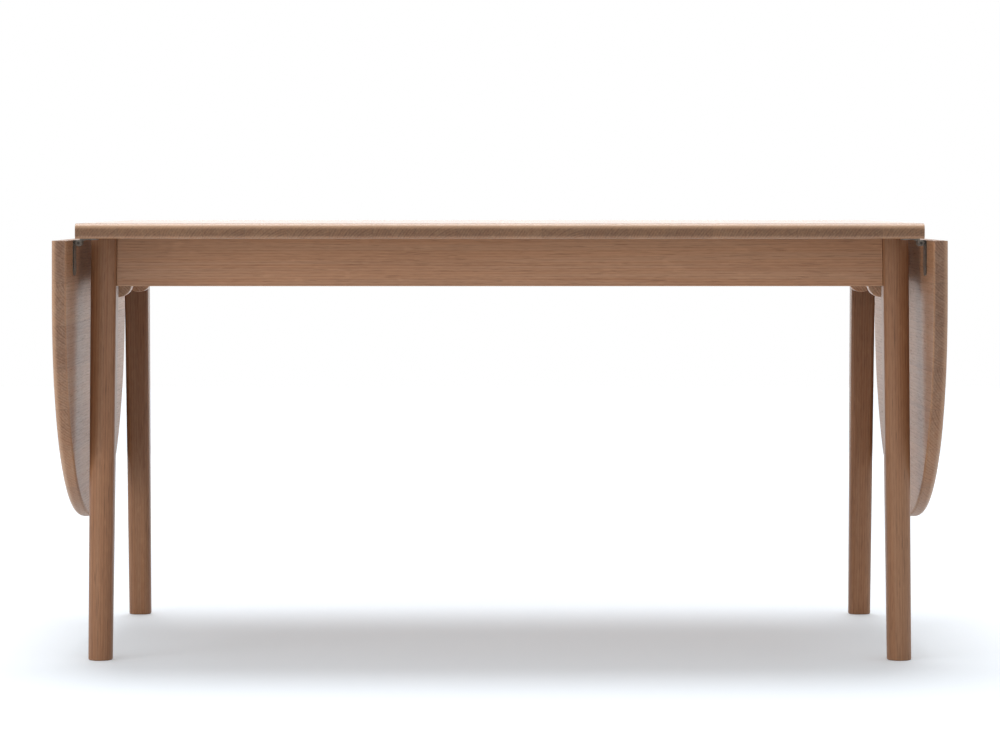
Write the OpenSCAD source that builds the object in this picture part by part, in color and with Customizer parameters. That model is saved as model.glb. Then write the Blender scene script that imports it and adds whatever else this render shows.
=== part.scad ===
// Drop leaf table. A fixed top stands on a frame of four legs that splay to the front and the rear.
// A half-oval leaf hangs from hinges at each end, and a bar on two arms pulls out to hold each leaf up.
// X runs along the table, Y from front to rear and Z up. The origin is on the floor, below the middle
// of the top. Every piece is drawn with both leaves hanging and both supports pushed in.

/* [Top] */
// Length of the fixed top
top_len = 1390; // [1200:10:1700]
// Width of the fixed top, and of the leaves at their hinges
top_w = 900; // [820:10:1000]
// Height of the upper face above the floor
top_h = 730; // [680:5:780]
// Thickness of the fixed top
top_t = 25; // [22:0.5:32]
// Radius of the upper edge, on the long sides of the top and round the leaves
edge_r_up = 8; // [4:0.5:10]
// Radius of the lower edge, on the long sides of the top and round the leaves
edge_r_low = 4; // [1.5:0.5:7]

/* [Leaves] */
// Length of a leaf, from the hinged edge to the tip
leaf_len = 488; // [400:1:540]
// Straight stretch of a leaf's side, before the half oval starts
leaf_straight = 80; // [40:5:180]
// Fullness of the half oval, where 2 is an ellipse
leaf_fullness = 2.2; // [2:0.1:2.8]
// How much thinner a leaf is than the top
leaf_thinner = 0.6; // [0.2:0.1:2]
// Gap at the joint between the top and a raised leaf
butt_gap = 0.4; // [0.2:0.1:1.5]

/* [Hinges] */
// Distance from a long side of the top to the middle of a hinge
hinge_inset = 108; // [96:1:130]
// Width of a hinge, along its pin
hinge_w = 32; // [26:1:44]
// Length of a hinge's plate on the leaf, from the pin
plate_len = 54; // [46:1:66]
// Length of a hinge's plate under the top, from the pin
top_plate_len = 32; // [30:1:44]
// Thickness of the hinge plates
plate_t = 3; // [2:0.1:3.4]
// Corner radius of the hinge plates
plate_r = 12; // [4:1:12]
// Depth to which a plate is let into a leaf
plate_inlet = 1; // [0.5:0.1:1.5]
// Outer radius where a leaf's plate bends towards the pin
plate_bend_r = 4; // [3.6:0.1:5]
// Radius of the hinge pins
pin_r = 2.5; // [1.5:0.1:3]
// Number of knuckles on a hinge, with the odd ones on the top's plate
knuckles = 5; // [3:2:7]
// Height of the pin below the underside of the top
pin_drop = 8.4; // [8:0.1:12]
// Distance of the pin beyond the end of the top
pin_out = 5.4; // [5:0.1:6.4]

/* [Legs] */
// Distance from the end of the top to a leg's outer face
leg_inset = 6; // [4:0.5:40]
// Width of a leg at the rails
leg_w = 43; // [38:0.5:50]
// Depth of a leg at the rails
leg_d = 48; // [42:0.5:54]
// Depth of a leg's rounded outer side at the rails
leg_crown = 12; // [8:0.5:15]
// Radius of a leg's two inner corners at the rails
leg_corner_r = 4; // [2:0.5:8]
// Width of a foot
foot_w = 40.5; // [36:0.5:44]
// Depth of a foot
foot_d = 38; // [35:0.5:44]
// Depth of a foot's rounded outer side
foot_crown = 19; // [12:0.5:19]
// Radius of a foot's two inner corners
foot_corner_r = 15; // [4:0.5:16]
// Distance from a long side of the top to the middle of a foot
foot_inset = 127; // [80:1:160]
// The same distance to the middle of a leg's upper end
leg_top_inset = 191; // [172:1:200]
// Radius round the bottom edge of a foot
foot_r = 2.5; // [1:0.5:5]

/* [Rails] */
// Height of the long rails and cross rails
rail_h = 82; // [70:0.5:110]
// Thickness of the long rails
rail_t = 22; // [18:0.5:26]
// Distance from a leg's crown back to the face of a long rail
rail_setback = 16; // [10:0.5:18]
// Length of the long rails' tenons
tenon_len = 28; // [16:1:34]
// Thickness of the tenons
tenon_t = 9; // [6:0.5:12]
// Shoulder above and below a tenon
tenon_shoulder = 10; // [5:1:16]
// Clearance of a tenon in its mortise
joint_play = 0.1; // [0.05:0.05:0.3]
// Thickness of the cross rails
cross_t = 22; // [18:0.5:30]
// Distance of the middle cross rails from the middle of the table
middle_rail_x = 335; // [280:5:380]
// Size of the triangular blocks in the corners of the rails
block_size = 32; // [20:1:44]

/* [Leaf supports] */
// Length of a support bar
bar_len = 360; // [340:2:400]
// Height of a support bar at its two ends
bar_h = 102; // [90:0.5:120]
// Thickness of a support bar
bar_t = 45; // [44.5:0.5:50]
// Radius along the lower edges of a support bar
bar_r = 22; // [6:0.5:22]
// Distance from a leg's outer face back to the bar's outer face
bar_setback = 13; // [11:0.5:30]
// Length of the two deep ends of a support bar, beside the finger recess
bar_nose = 30; // [20:1:60]
// Height of the finger recess in a bar's lower edge
grip_h = 22; // [10:1:28]
// Distance from an end of the support bar to the middle of the arm there
arm_inset = 18; // [13:0.5:36]
// Width of a support arm
arm_w = 24; // [18:0.5:30]
// Height of a support arm
arm_h = 45; // [34:0.5:52]
// Space between the arms of the two supports at the middle of the table
arm_gap = 44; // [20:1:120]
// Length of the arms' tenons in the bar
arm_tenon_len = 28; // [16:1:32]
// Clearance of an arm at each side of its notch
slide_play = 0.5; // [0.3:0.1:1]
// Clearance below an arm in its notch
slide_seat = 0.3; // [0.1:0.1:0.5]
// Clearance above the supports, under the top
slide_air = 1; // [0.5:0.1:2]
// Diameter of the stop pegs
peg_d = 10; // [6:0.5:12]
// How far a stop peg stands out at each side of its arm
peg_out = 10; // [5:0.5:14]
// Distance of the stop pegs from the arms' inner ends
peg_inset = 14; // [10:1:30]

/* [Fasteners] */
// Distance of the top's brackets from the middle of the table's width
bracket_y = 90; // [40:1:100]
// Length of a bracket's two sides
bracket_len = 30; // [26:1:36]
// Width of a bracket
bracket_w = 20; // [16:1:26]
// Thickness of a bracket
bracket_t = 2.5; // [2:0.1:4]
// Radius of the screws' shanks
screw_r = 2; // [1.5:0.1:2.5]
// Radius of the screws' heads
screw_head_r = 4; // [3.2:0.1:4.6]
// Height of the screws' heads
screw_head_h = 2.2; // [1.6:0.1:2.4]
// Length of a screw's shank below its head
screw_len = 15; // [8:0.5:17]
// Clearance of a screw in its hole
screw_play = 0.05; // [0.02:0.01:0.1]

/* [Hidden] */

$fn = 64;
left = -1;
right = 1;
front = -1;
rear = 1;
// Cut-outs run past the faces they open by this much
past = 1;

wood = "#b48f68";
wood_dark = "#a37d57";
steel = "#8f9091";

// Levels
under = top_h - top_t;
leaf_t = top_t - leaf_thinner;
rail_low = under - rail_h;
leg_straight_from = rail_low - 15;

// Hinge axis and the hanging leaf, on the right. The knuckles are flush with the leaf's upper edge.
axis_x = top_len / 2 + pin_out;
axis_z = under - pin_drop;
hinge_y = top_w / 2 - hinge_inset;
knuckle_r = pin_out - butt_gap;
leaf_in = axis_x + pin_drop + leaf_thinner;
leaf_top = axis_z + knuckle_r;
leaf_plate_x = leaf_in + plate_inlet - plate_t;
plate_start = 1;

// Distances from the middle of the table's width to the middle of a foot and of a leg's upper end
foot_y = top_w / 2 - foot_inset;
leg_top_y = top_w / 2 - leg_top_inset;

// Legs and rails across the table, on the right
leg_out = top_len / 2 - leg_inset;
leg_in = leg_out - leg_w;
leg_x = (leg_out + leg_in) / 2;
bar_x_out = leg_out - bar_setback;
bar_x_in = bar_x_out - bar_t;
stow_gap = 0.3;
leg_air = 2;
end_rail_out = min(bar_x_in - stow_gap, leg_in - leg_air);
end_rail_in = end_rail_out - cross_t;
middle_rail_in = middle_rail_x - cross_t / 2;

// Long rails, measured outward from the middle of a leg's depth
rail_face = leg_d / 2 - rail_setback;
rail_back = rail_face - rail_t;
tenon_back = (rail_face + rail_back - tenon_t) / 2;

// Supports
support_top = under - slide_air;
arm_low = support_top - arm_h;
arm_y = bar_len / 2 - arm_inset;
arm_end = arm_gap / 2;
peg_x = arm_end + peg_inset;

// Middle of a leg's depth at a height
function slant(z) = foot_y - (foot_y - leg_top_y) * z / under;

// Straight line between two values
function blend(a, b, share) = a + (b - a) * share;

// Mirrors what is drawn on the right to the left
module at_end(side) {
    mirror([side < 0 ? 1 : 0, 0, 0]) children();
}

// Mirrors what is drawn at the rear to the front
module at_side(side) {
    mirror([0, side < 0 ? 1 : 0, 0]) children();
}

// Draws its children, made at the rear right, at all four corners
module at_corners() {
    for (end = [left, right], side = [front, rear]) at_end(end) at_side(side) children();
}

// Extrudes an outline of Y and Z along X
module along_x(x0, x1) {
    translate([x0, 0, 0]) rotate([90, 0, 90]) linear_extrude(x1 - x0) children();
}

// Extrudes an outline of X and Z along Y
module along_y(y0, y1) {
    translate([0, y1, 0]) rotate([90, 0, 0]) linear_extrude(y1 - y0) children();
}

// Solid through a stack of rings of equally many points, flat at both ends
module loft(rings) {
    n = len(rings[0]);
    last = len(rings) - 1;
    points = [for (ring = rings) each ring];
    sides = [for (k = [0:last - 1], i = [0:n - 1])
        let (j = (i + 1) % n) [k * n + i, (k + 1) * n + i, (k + 1) * n + j, k * n + j]];
    bottom = [for (i = [0:n - 1]) i];
    top = [for (i = [n - 1:-1:0]) last * n + i];
    polyhedron(points, concat([bottom, top], sides));
}

// Upright rectangle centred on its width, with its own radius at the lower and the upper corners
module rounded_profile(w, h, r_low, r_up) {
    polygon([
        [-w / 2 + r_low, 0], [w / 2 - r_low, 0], [w / 2, r_low], [w / 2, h - r_up],
        [w / 2 - r_up, h], [-w / 2 + r_up, h], [-w / 2, h - r_up], [-w / 2, r_low]
    ]);
    for (s = [-1, 1]) {
        translate([s * (w / 2 - r_low), r_low]) circle(r_low);
        translate([s * (w / 2 - r_up), h - r_up]) circle(r_up);
    }
}

// Rectangle from x0 to x1 about the X axis, with round corners at x1 only
module tongue(x0, x1, w, r) {
    difference() {
        translate([x0, -w / 2]) square([x1 - x0, w]);
        for (s = [-1, 1]) translate([x1 - r, s * (w / 2 - r)]) difference() {
            translate([0, s > 0 ? 0 : -r - past]) square([r + past, r + past]);
            circle(r);
        }
    }
}

// Rectangle from the origin to w and h, with that far corner rounded
module elbow(w, h, r) {
    square([w, h - r]);
    square([w - r, h]);
    translate([w - r, h - r]) circle(r);
}

// Board that leans with the legs, between two distances from the middle of a leg's depth
module leaning_board(back, face, z0, z1) {
    polygon([
        [slant(z0) + back, z0], [slant(z0) + face, z0],
        [slant(z1) + face, z1], [slant(z1) + back, z1]
    ]);
}

// Section of a leg: half an oval of a given depth on the outer side and round corners on the inner one
function leg_section(w, d, crown, r) = concat(
    [for (a = [0:10:180]) [w / 2 * cos(a), d / 2 - crown + crown * sin(a)]],
    [for (a = [180:22.5:270]) [-w / 2 + r + r * cos(a), -d / 2 + r + r * sin(a)]],
    [for (a = [270:22.5:360]) [w / 2 - r + r * cos(a), -d / 2 + r + r * sin(a)]]
);

// Ring round a leg at a height, drawn in from its full section by an inset
function leg_ring(z, inset) =
    let (share = min(1, z / leg_straight_from))
    let (w = blend(foot_w, leg_w, share) - 2 * inset)
    let (d = blend(foot_d, leg_d, share) - 2 * inset)
    let (crown = blend(foot_crown, leg_crown, share) - inset)
    let (r = max(0.5, blend(foot_corner_r, leg_corner_r, share) - inset))
    [for (p = leg_section(w, d, crown, r)) [leg_x + p[0], slant(z) + p[1], z]];

// Signed power that turns the sine and cosine of an ellipse into those of a fuller oval
function fuller(v) = sign(v) * pow(abs(v), 2 / leaf_fullness);

// Outline of a leaf as Y and the distance from its hinged edge, drawn in by an inset
function leaf_outline(inset) = concat(
    [[-top_w / 2 + inset, 0]],
    [for (a = [180:-3:0]) [
        (top_w / 2 - inset) * fuller(cos(a)),
        leaf_straight + (leaf_len - leaf_straight - inset) * fuller(sin(a))
    ]],
    [[top_w / 2 - inset, 0]]
);

// Edge of a leaf from the lower to the upper face: height in the thickness, and inset
edge_steps = concat(
    [for (a = [0:22.5:90]) [edge_r_low * (1 - cos(a)), edge_r_low * (1 - sin(a))]],
    [for (a = [0:15:90]) [leaf_t - edge_r_up * (1 - sin(a)), edge_r_up * (1 - cos(a))]]
);

// Screw that points along Z, with its flush cone head below the origin's plane or its pan head under it
module flush_screw(play) {
    cylinder(h = screw_head_h, r1 = screw_head_r + play, r2 = screw_r + play);
    cylinder(h = screw_len + play, r = screw_r + play);
}

module pan_screw(play) {
    translate([0, 0, -screw_head_h]) cylinder(h = screw_head_h, r1 = screw_head_r * 0.8, r2 = screw_head_r);
    cylinder(h = screw_len + play, r = screw_r + play);
}

// ---- Fixed top ----

module tabletop() {
    color(wood) difference() {
        along_x(-top_len / 2, top_len / 2)
            translate([0, under]) rounded_profile(top_w, top_t, edge_r_low, edge_r_up);
        hinge_top_screw_places() flush_screw(screw_play);
        bracket_top_screw_places() pan_screw(screw_play);
    }
}

// ---- Legs and rails ----

module leg() {
    foot_rings = [for (a = [0:30:90]) leg_ring(foot_r * (1 - cos(a)), foot_r * (1 - sin(a)))];
    top_bevel = 1;
    difference() {
        loft(concat(foot_rings, [
            leg_ring(leg_straight_from, 0),
            leg_ring(under - top_bevel, 0),
            leg_ring(under, top_bevel)
        ]));
        along_x(leg_in - past, leg_in + tenon_len + joint_play) leaning_board(
            tenon_back - joint_play, tenon_back + tenon_t + joint_play,
            rail_low + tenon_shoulder - joint_play, under - tenon_shoulder + joint_play
        );
    }
}

module leg_front_left() {
    color(wood) at_end(left) at_side(front) leg();
}

module leg_front_right() {
    color(wood) at_end(right) at_side(front) leg();
}

module leg_rear_left() {
    color(wood) at_end(left) at_side(rear) leg();
}

module leg_rear_right() {
    color(wood) at_end(right) at_side(rear) leg();
}

module long_rail() {
    tenon_end = leg_in + tenon_len;
    along_x(-leg_in, leg_in) leaning_board(rail_back, rail_face, rail_low, under);
    along_x(-tenon_end, tenon_end) leaning_board(
        tenon_back, tenon_back + tenon_t, rail_low + tenon_shoulder, under - tenon_shoulder
    );
}

module long_rail_front() {
    color(wood) at_side(front) long_rail();
}

module long_rail_rear() {
    color(wood) at_side(rear) long_rail();
}

// Board between the two long rails, with a notch in its upper edge for each support arm
module cross_rail(x_in) {
    notch_w = arm_w + 2 * slide_play;
    notch_low = arm_low - slide_seat;
    difference() {
        along_x(x_in, x_in + cross_t) polygon([
            [-slant(rail_low) - rail_back, rail_low], [slant(rail_low) + rail_back, rail_low],
            [slant(under) + rail_back, under], [-slant(under) - rail_back, under]
        ]);
        for (side = [front, rear])
            translate([x_in - past, side * arm_y - notch_w / 2, notch_low])
                cube([cross_t + 2 * past, notch_w, under - notch_low + past]);
        bracket_rail_screw_places(x_in) pan_screw(screw_play);
    }
}

module end_rail_left() {
    color(wood_dark) at_end(left) cross_rail(end_rail_in);
}

module end_rail_right() {
    color(wood_dark) at_end(right) cross_rail(end_rail_in);
}

module middle_rail_left() {
    color(wood_dark) at_end(left) cross_rail(middle_rail_in);
}

module middle_rail_right() {
    color(wood_dark) at_end(right) cross_rail(middle_rail_in);
}

// Triangular block between the inner side of a cross rail and a long rail
module corner_block(x_in) {
    block_low = rail_low + 8;
    block_top = under - 8;
    reach = slant(block_low) + rail_back;
    intersection() {
        translate([x_in, 0, block_low]) linear_extrude(block_top - block_low) polygon([
            [0, slant(block_top) + rail_back - block_size], [0, reach + past],
            [-block_size, reach + past], [-block_size, slant(block_top) + rail_back - 4]
        ]);
        along_x(x_in - block_size - past, x_in)
            leaning_board(rail_back - 2 * block_size, rail_back, block_low, block_top);
    }
}

module corner_blocks() {
    color(wood_dark) at_corners() {
        corner_block(end_rail_in);
        corner_block(middle_rail_in);
    }
}

// ---- Brackets that hold the top to the cross rails ----

// Places on the right and the left for one bracket at each side of each cross rail
module bracket_places() {
    at_corners() for (x = [end_rail_in, middle_rail_in]) translate([x, bracket_y, under]) children();
}

// Screws through the brackets into the top
module bracket_top_screw_places() {
    bracket_places() translate([-bracket_len * 0.6, 0, -bracket_t]) children();
}

// Screws through the brackets into a cross rail whose inner face is at x_in, on the right
module bracket_rail_screw_places(x_in) {
    for (side = [front, rear])
        translate([x_in - bracket_t, side * bracket_y, under - bracket_len * 0.6])
            rotate([0, 90, 0]) children();
}

module top_brackets() {
    color(steel) difference() {
        bracket_places() {
            translate([-bracket_len, -bracket_w / 2, -bracket_t]) cube([bracket_len, bracket_w, bracket_t]);
            translate([-bracket_t, -bracket_w / 2, -bracket_len]) cube([bracket_t, bracket_w, bracket_len]);
        }
        bracket_top_screw_places() pan_screw(screw_play);
        for (end = [left, right], x = [end_rail_in, middle_rail_in])
            at_end(end) bracket_rail_screw_places(x) pan_screw(screw_play);
    }
}

module bracket_screws() {
    color(steel) {
        bracket_top_screw_places() pan_screw(0);
        for (end = [left, right], x = [end_rail_in, middle_rail_in])
            at_end(end) bracket_rail_screw_places(x) pan_screw(0);
    }
}

// ---- Hinges ----

// Places of the two hinges on the right, with the origin on the pin's axis
module hinge_places() {
    for (side = [front, rear]) translate([axis_x, side * hinge_y, axis_z]) children();
}

// Places of the screws in the two plates, as distances from the pin and along it
screw_apart = hinge_w / 2 - 10;
top_screw_spots = [[13, screw_apart], [top_plate_len - 8, -screw_apart]];
leaf_screw_near = 15;
leaf_screw_far = plate_len - 11;
leaf_screw_spots = [
    [leaf_screw_near, -screw_apart], [(leaf_screw_near + leaf_screw_far) / 2, screw_apart],
    [leaf_screw_far, -screw_apart]
];

// How far a bent strip runs on into its plate
strip_lap = 2;

module hinge_top_screw_places() {
    for (end = [left, right]) at_end(end) hinge_places() for (spot = top_screw_spots)
        translate([-spot[0], spot[1], pin_drop - plate_t]) children();
}

module hinge_leaf_screw_places() {
    hinge_places() for (spot = leaf_screw_spots)
        translate([leaf_plate_x - axis_x, spot[1], -spot[0]]) rotate([0, 90, 0]) children();
}

// Knuckles of one plate, each a ring of X and Z with a bent strip to its plate, drawn as the child
module knuckle_row(first) {
    pitch = hinge_w / knuckles;
    side_air = 0.15;
    for (k = [first:2:knuckles - 1])
        along_y(-hinge_w / 2 + k * pitch + side_air, -hinge_w / 2 + (k + 1) * pitch - side_air) {
            circle(knuckle_r);
            children();
        }
}

// Hole for the pin through the knuckles
module pin_hole(play) {
    rotate([90, 0, 0]) cylinder(h = hinge_w + 2 * past, r = pin_r + play, center = true);
}

// The plate under the top. It ends flush with the top, and its strips bend down to the knuckles.
module hinge_top_plate() {
    strip_in = pin_out + strip_lap;
    difference() {
        union() {
            translate([0, 0, pin_drop - plate_t]) linear_extrude(plate_t)
                mirror([1, 0]) tongue(pin_out, top_plate_len, hinge_w, plate_r);
            knuckle_row(0) translate([-strip_in, 0]) difference() {
                elbow(strip_in - knuckle_r + plate_t, pin_drop, plate_t);
                square([strip_in - knuckle_r, pin_drop - plate_t]);
            }
        }
        pin_hole(0.01);
    }
}

module hinge_top_plates() {
    color(steel) difference() {
        for (end = [left, right]) at_end(end) hinge_places() hinge_top_plate();
        hinge_top_screw_places() flush_screw(screw_play);
    }
}

// The plate on a leaf. Its strips rise to the leaf's upper edge and bend across to the knuckles.
module hinge_leaf_plate() {
    reach = leaf_plate_x - axis_x;
    strip_low = plate_start + strip_lap;
    difference() {
        union() {
            translate([reach, 0, 0]) rotate([0, 90, 0]) linear_extrude(plate_t)
                tongue(plate_start, plate_len, hinge_w, plate_r);
            knuckle_row(1) translate([0, -strip_low]) difference() {
                elbow(reach + plate_t, knuckle_r + strip_low, plate_bend_r);
                elbow(reach, knuckle_r + strip_low - plate_t, plate_bend_r - plate_t);
            }
        }
        pin_hole(0.05);
    }
}

module hinge_leaf_plates() {
    color(steel) difference() {
        hinge_places() hinge_leaf_plate();
        hinge_leaf_screw_places() flush_screw(screw_play);
    }
}

module hinge_leaf_plates_left() {
    at_end(left) hinge_leaf_plates();
}

module hinge_leaf_plates_right() {
    at_end(right) hinge_leaf_plates();
}

module hinge_pins() {
    color(steel) for (end = [left, right]) at_end(end) hinge_places()
        rotate([90, 0, 0]) cylinder(h = hinge_w, r = pin_r, center = true);
}

module hinge_top_screws() {
    color(steel) hinge_top_screw_places() flush_screw(0);
}

module hinge_leaf_screws_left() {
    color(steel) at_end(left) hinge_leaf_screw_places() flush_screw(0);
}

module hinge_leaf_screws_right() {
    color(steel) at_end(right) hinge_leaf_screw_places() flush_screw(0);
}

// ---- Leaves ----

module leaf() {
    inlet_air = 0.4;
    inlet_w = hinge_w + 2 * inlet_air;
    color(wood) difference() {
        loft([for (step = edge_steps) [for (p = leaf_outline(step[1]))
            [leaf_in + step[0], p[0], leaf_top - p[1]]]]);
        hinge_places() translate([leaf_plate_x - axis_x, 0, 0]) rotate([0, 90, 0])
            linear_extrude(plate_t) tongue(-2 * pin_out, plate_len + inlet_air, inlet_w, plate_r);
        hinge_leaf_screw_places() flush_screw(screw_play);
    }
}

module leaf_left() {
    at_end(left) leaf();
}

module leaf_right() {
    at_end(right) leaf();
}

// ---- Pull-out supports ----

// Outline of Y and Z of an arm or of its tenon, grown by a clearance
module arm_profile(w, h, play) {
    translate([-w / 2 - play, support_top - arm_h / 2 - h / 2 - play]) square([w + 2 * play, h + 2 * play]);
}

// Tenon of an arm, half as thick and two thirds as high as the arm
module arm_tenon(play) {
    along_x(bar_x_in - past, bar_x_in + arm_tenon_len + play) arm_profile(arm_w / 2, arm_h * 2 / 3, play);
}

// Bar with a deep nose at each end, and between them a finger recess with round corners
module support_bar() {
    top_r = 2;
    grip_r = 8;
    recess_w = bar_len - 2 * bar_nose;
    difference() {
        translate([(bar_x_in + bar_x_out) / 2, 0, support_top - bar_h])
            along_y(-bar_len / 2, bar_len / 2) rounded_profile(bar_t, bar_h, bar_r, top_r);
        along_x(bar_x_in - past, bar_x_out + past) translate([0, support_top - bar_h - grip_r])
            rounded_profile(recess_w, grip_h + grip_r, 0.1, grip_r);
        for (side = [front, rear]) translate([0, side * arm_y, 0]) arm_tenon(joint_play);
    }
}

module support_arm() {
    difference() {
        union() {
            along_x(arm_end, bar_x_in) arm_profile(arm_w, arm_h, 0);
            arm_tenon(0);
        }
        peg(joint_play);
    }
}

// Peg across an arm near its inner end
module peg(play) {
    translate([peg_x, 0, support_top - arm_h / 2]) rotate([90, 0, 0])
        cylinder(h = arm_w + 2 * peg_out, r = peg_d / 2 + play, center = true);
}

module at_arms() {
    for (side = [front, rear]) translate([0, side * arm_y, 0]) children();
}

module support_bar_left() {
    color(wood) at_end(left) support_bar();
}

module support_bar_right() {
    color(wood) at_end(right) support_bar();
}

module support_arms_left() {
    color(wood_dark) at_end(left) at_arms() support_arm();
}

module support_arms_right() {
    color(wood_dark) at_end(right) at_arms() support_arm();
}

module support_pegs_left() {
    color(wood) at_end(left) at_arms() peg(0);
}

module support_pegs_right() {
    color(wood) at_end(right) at_arms() peg(0);
}

tabletop();
long_rail_front();
long_rail_rear();
leg_front_left();
leg_front_right();
leg_rear_left();
leg_rear_right();
end_rail_left();
end_rail_right();
middle_rail_left();
middle_rail_right();
corner_blocks();
top_brackets();
bracket_screws();
hinge_top_plates();
hinge_pins();
hinge_top_screws();
leaf_left();
hinge_leaf_plates_left();
hinge_leaf_screws_left();
leaf_right();
hinge_leaf_plates_right();
hinge_leaf_screws_right();
support_bar_left();
support_arms_left();
support_pegs_left();
support_bar_right();
support_arms_right();
support_pegs_right();
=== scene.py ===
"""Looks of a drop leaf table: oiled timber and steel hinges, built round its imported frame.

X runs along the table, Y from the front to the rear and Z up, in metres, with the origin on the floor.
"""

import logging
import math
from dataclasses import astuple, dataclass, field
from enum import Enum

import bmesh
import bpy
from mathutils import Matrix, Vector


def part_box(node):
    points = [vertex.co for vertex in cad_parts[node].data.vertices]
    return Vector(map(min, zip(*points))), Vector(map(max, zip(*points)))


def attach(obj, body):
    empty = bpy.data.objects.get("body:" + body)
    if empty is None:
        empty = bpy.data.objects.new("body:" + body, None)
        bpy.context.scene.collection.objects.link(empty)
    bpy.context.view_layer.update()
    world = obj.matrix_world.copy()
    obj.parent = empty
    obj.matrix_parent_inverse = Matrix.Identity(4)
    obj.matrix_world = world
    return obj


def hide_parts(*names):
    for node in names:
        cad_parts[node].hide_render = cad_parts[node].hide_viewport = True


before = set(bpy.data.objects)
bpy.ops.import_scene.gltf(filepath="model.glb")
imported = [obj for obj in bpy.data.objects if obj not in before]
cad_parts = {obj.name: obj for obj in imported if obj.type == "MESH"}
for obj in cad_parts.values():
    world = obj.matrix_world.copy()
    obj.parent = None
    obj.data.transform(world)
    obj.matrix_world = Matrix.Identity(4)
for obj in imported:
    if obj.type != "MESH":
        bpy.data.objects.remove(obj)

MM = 0.001
UNDIVIDED = 9.0  # cell size, in metres, in a direction in which a piece isn't glued up
SHARP = math.radians(32)  # edges that turn more than this stay sharp
FLAT = math.radians(0.3)  # facets that turn less than this become one face
ARRIS_TURN = math.radians(50)  # edges that turn more than this are broken
ARRIS_STEPS = 2  # facets across a broken edge
TINY_ARC, SMALL_ARC, FINE_ARC = 3, 5, 8  # facets of a quarter circle
WHITE = (1.0, 1.0, 1.0, 1.0)
log = logging.getLogger("drop_leaf_table")

Socket = bpy.types.NodeSocket
Number = float | Socket
Values = dict[str, object] | tuple | list
Point = tuple[float, float, float]
Outline = list[tuple[float, float]]
Ring = list[Point]
Shade = tuple[float, float, float]


class Grain(Enum):
    """Which axes run across a board, through it and along its grain."""

    TOP = ("X", "Z", "Y")
    UPRIGHT_ALONG_X = ("Z", "Y", "X")
    UPRIGHT_ALONG_Y = ("Z", "X", "Y")
    LEG = ("X", "Y", "Z")


class Kind(Enum):
    """Kinds of socket on a node group."""

    FLOAT = "NodeSocketFloat"
    VECTOR = "NodeSocketVector"
    COLOR = "NodeSocketColor"


class Slot(Enum):
    """Material slots of the record."""

    WOOD = "wood"
    FRAME_WOOD = "frame_wood"
    STEEL = "steel"


class LampKind(Enum):
    """Kinds of lamp."""

    PANEL = "AREA"
    FAR = "SUN"


# ---- Node trees ----


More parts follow.
